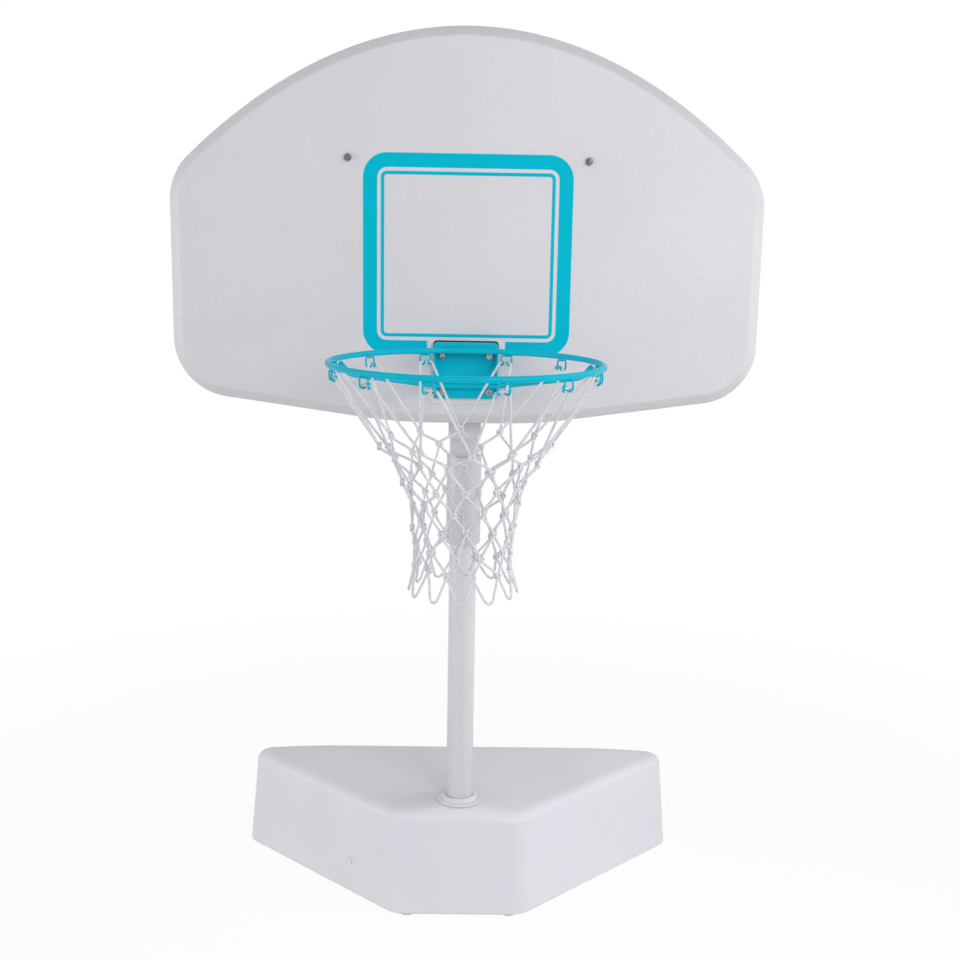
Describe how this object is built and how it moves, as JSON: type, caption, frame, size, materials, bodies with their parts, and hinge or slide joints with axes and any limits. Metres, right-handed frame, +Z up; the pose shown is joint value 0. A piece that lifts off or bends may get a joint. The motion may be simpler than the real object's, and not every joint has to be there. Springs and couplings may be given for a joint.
{
  "type": "poolside basketball hoop",
  "caption": "Portable poolside basketball hoop: low water-ballast tank, telescopic pole with a clamp sleeve, arched moulded backboard, welded rim with hooks and a corded net",
  "frame": {"origin": "on the floor, under the middle of the part's box, midway between the ring's front and the filler cap at the rear", "axes": "+Z up along the pole, +X to the player's right as the player faces the board, +Y away from the player towards the rear of the tank"},
  "size_m": [1.12, 0.9282, 1.7815],
  "materials": {
    "tank_plastic": "light warm grey moulded plastic, fine orange-peel grain",
    "board_plastic": "light warm grey moulded plastic, fine orange-peel grain",
    "collar_plastic": "smooth white plastic",
    "pole_paint": "white powder coat on steel tube",
    "frame_paint": "white powder coat on folded steel sheet",
    "rim_paint": "glossy teal powder coat",
    "net_cord": "white twisted cord",
    "steel": "bright zinc-plated steel",
    "dark_steel": "black coated steel",
    "dark_plastic": "black plastic",
    "rubber": "black rubber"
  },
  "bodies": {
    "stand": {"base_tank": "tank_plastic", "foot_front_left": "rubber", "foot_front_right": "rubber", "foot_rear_left": "rubber", "foot_rear_right": "rubber", "pole_collar": "collar_plastic", "lower_pole": "pole_paint", "lower_pole_plug": "dark_plastic", "guide_bush": "dark_plastic"},
    "drain": {"drain_plug": "tank_plastic"},
    "filler_feed": {"filler_washer": "rubber"},
    "filler": {"filler_cap": "collar_plastic"},
    "mast": {"upper_pole": "pole_paint", "mast_cap": "dark_plastic", "clamp_sleeve": "collar_plastic", "backboard_shell": "board_plastic", "backboard_back": "board_plastic", "bracket_gasket": "rubber", "rim_bracket": "rim_paint", "rim_ring": "rim_paint", "brace_rod": "rim_paint", "net_hook_1": "rim_paint", "net_hook_2": "rim_paint", "net_hook_3": "rim_paint", "net_hook_4": "rim_paint", "net_hook_5": "rim_paint", "net_hook_6": "rim_paint", "net_hook_7": "rim_paint", "net_hook_8": "rim_paint", "net_hook_9": "rim_paint", "net_hook_10": "rim_paint", "net_hook_11": "rim_paint", "net_hook_12": "rim_paint", "net": "net_cord", "mast_channel": "frame_paint", "cross_bar": "frame_paint", "rear_bracket": "frame_paint", "rim_bolt_upper_left": "steel", "rim_bolt_upper_right": "steel", "rim_bolt_lower_left": "steel", "rim_bolt_lower_right": "steel", "rim_nut_upper_left": "steel", "rim_nut_upper_right": "steel", "rim_nut_lower_left": "steel", "rim_nut_lower_right": "steel", "board_bolt_left": "dark_steel", "board_bolt_right": "dark_steel", "board_nut_left": "steel", "board_nut_right": "steel", "mast_bolt_lower": "steel", "mast_bolt_upper": "steel", "mast_nut_lower": "steel", "mast_nut_upper": "steel"},
    "clamp_feed": {"clamp_pad": "dark_plastic"},
    "clamp": {"clamp_screw": "steel", "clamp_knob": "dark_plastic"}
  },
  "joints": [
    {"name": "height_slide", "type": "slide", "parent": "stand", "child": "mast", "axis": [0, 0, 1], "range_m": [-0.2, 0.15]},
    {"name": "clamp_feed", "type": "slide", "parent": "mast", "child": "clamp_feed", "axis": [0, 1, 0], "range_m": [0, 0.006]},
    {"name": "clamp_turn", "type": "hinge", "parent": "clamp_feed", "child": "clamp", "pos_m": [0, 0.13467, 0.836], "axis": [0, 1, 0], "range_deg": [0, 1080]},
    {"name": "filler_feed", "type": "slide", "parent": "stand", "child": "filler_feed", "axis": [0, 1, 0], "range_m": [0, 0.012]},
    {"name": "filler_turn", "type": "hinge", "parent": "filler_feed", "child": "filler", "pos_m": [0.19, 0.44738, 0.142], "axis": [0, 1, 0], "range_deg": [0, 1080]},
    {"name": "drain_pull", "type": "slide", "parent": "stand", "child": "drain", "axis": [-0.6794, -0.7286, 0.0872], "range_m": [0, 0.02]}
  ],
  "couplings": [
    {"joint": "clamp_feed", "follows": "clamp_turn", "m_per_rad": 0.00031831},
    {"joint": "filler_feed", "follows": "filler_turn", "m_per_rad": 0.00063662}
  ]
}
